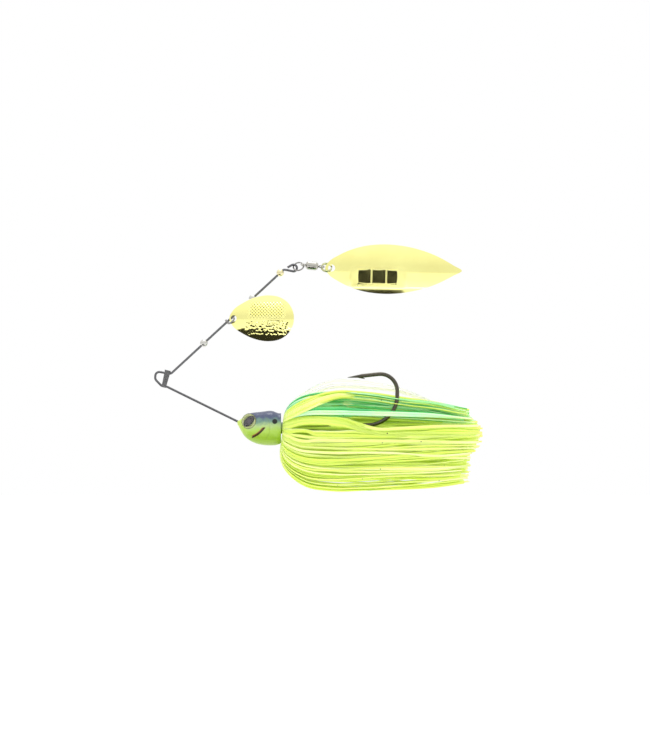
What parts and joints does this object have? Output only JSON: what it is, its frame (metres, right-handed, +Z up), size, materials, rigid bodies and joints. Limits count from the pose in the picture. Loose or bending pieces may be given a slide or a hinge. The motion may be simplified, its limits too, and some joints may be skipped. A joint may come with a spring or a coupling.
{
  "type": "spinnerbait",
  "caption": "Fishing lure with a V-shaped wire frame, a painted lead head and skirted hook on the lower arm, and two spinning blades on the upper arm.",
  "frame": {"origin": "centre of the line tie, the small eye where the two arms of the wire frame meet", "axes": "+X back along the lure from the line tie to the skirt's tails, +Z up as it swims, with the blades' arm above the head, +Y across it; the wire frame and the hook lie in the plane Y = 0"},
  "size_m": [0.132, 0.036, 0.0989],
  "materials": {
    "steel_wire": "satin",
    "grey_thread": "satin",
    "hook_steel": "polished",
    "painted_lead": "gloss",
    "gold_foil": "gloss",
    "clear_lens": "gloss",
    "collar_rubber": "satin",
    "green_silicone": "satin",
    "chartreuse_silicone": "satin",
    "pearl_silicone": "satin",
    "nickel": "polished",
    "gold_plate": "polished",
    "pale_gold_blade": "polished",
    "olive_gold_ring": "polished"
  },
  "bodies": {
    "frame": {"wire_frame": "steel_wire", "line_tie_binding": "grey_thread", "hook": "hook_steel", "lead_head": "painted_lead", "eye_foils": "gold_foil", "eye_lenses": "clear_lens", "skirt_collar": "collar_rubber", "skirt_green_strands": "green_silicone", "skirt_chartreuse_strands": "chartreuse_silicone", "skirt_pearl_strands": "pearl_silicone", "bead_upper": "gold_plate"},
    "lower_bead": {"bead_lower": "nickel"},
    "middle_bead": {"bead_middle": "nickel"},
    "clevis": {"clevis": "nickel"},
    "indiana_blade": {"indiana_blade": "pale_gold_blade"},
    "front_ring": {"front_ring": "nickel"},
    "swivel_barrel": {"swivel_barrel": "nickel", "swivel_balls": "nickel"},
    "swivel_stem": {"swivel_stem": "nickel"},
    "split_ring": {"split_ring": "olive_gold_ring"},
    "willow_blade": {"willow_blade": "pale_gold_blade"}
  },
  "joints": [
    {"name": "bead_lower_slide", "type": "slide", "parent": "frame", "child": "lower_bead", "axis": [0.7349, 0, 0.6782], "range_m": [-0.013, 0.01]},
    {"name": "bead_middle_slide", "type": "slide", "parent": "frame", "child": "middle_bead", "axis": [0.7349, 0, 0.6782], "range_m": [-0.0085, 0.0118]},
    {"name": "clevis_spin", "type": "hinge", "parent": "frame", "child": "clevis", "pos_m": [0.02795, 0, 0.02307], "axis": [0.7349, 0, 0.6782], "continuous": true},
    {"name": "indiana_swing", "type": "hinge", "parent": "clevis", "child": "indiana_blade", "pos_m": [0.0296, -0.0029, 0.0234], "axis": [0, 0, -1], "range_deg": [0, 24]},
    {"name": "front_ring_swing", "type": "hinge", "parent": "frame", "child": "front_ring", "pos_m": [0.0534, 0, 0.0436], "axis": [0, 1, 0], "range_deg": [-50, 30]},
    {"name": "swivel_tilt", "type": "hinge", "parent": "front_ring", "child": "swivel_barrel", "pos_m": [0.05541, 0, 0.04421], "axis": [-0.1918, -0.7547, 0.6274], "range_deg": [-40, 40]},
    {"name": "swivel_spin", "type": "hinge", "parent": "swivel_barrel", "child": "swivel_stem", "pos_m": [0.05826, 0, 0.04474], "axis": [0.9945, 0, -0.1045], "continuous": true},
    {"name": "split_ring_flap", "type": "hinge", "parent": "swivel_stem", "child": "split_ring", "pos_m": [0.06458, 0, 0.04408], "axis": [0.0982, 0.342, 0.9345], "range_deg": [-35, 35]},
    {"name": "willow_swing", "type": "hinge", "parent": "split_ring", "child": "willow_blade", "pos_m": [0.06661, 0, 0.04383], "axis": [-0.08, 0.7547, -0.6512], "range_deg": [-40, 40]}
  ]
}
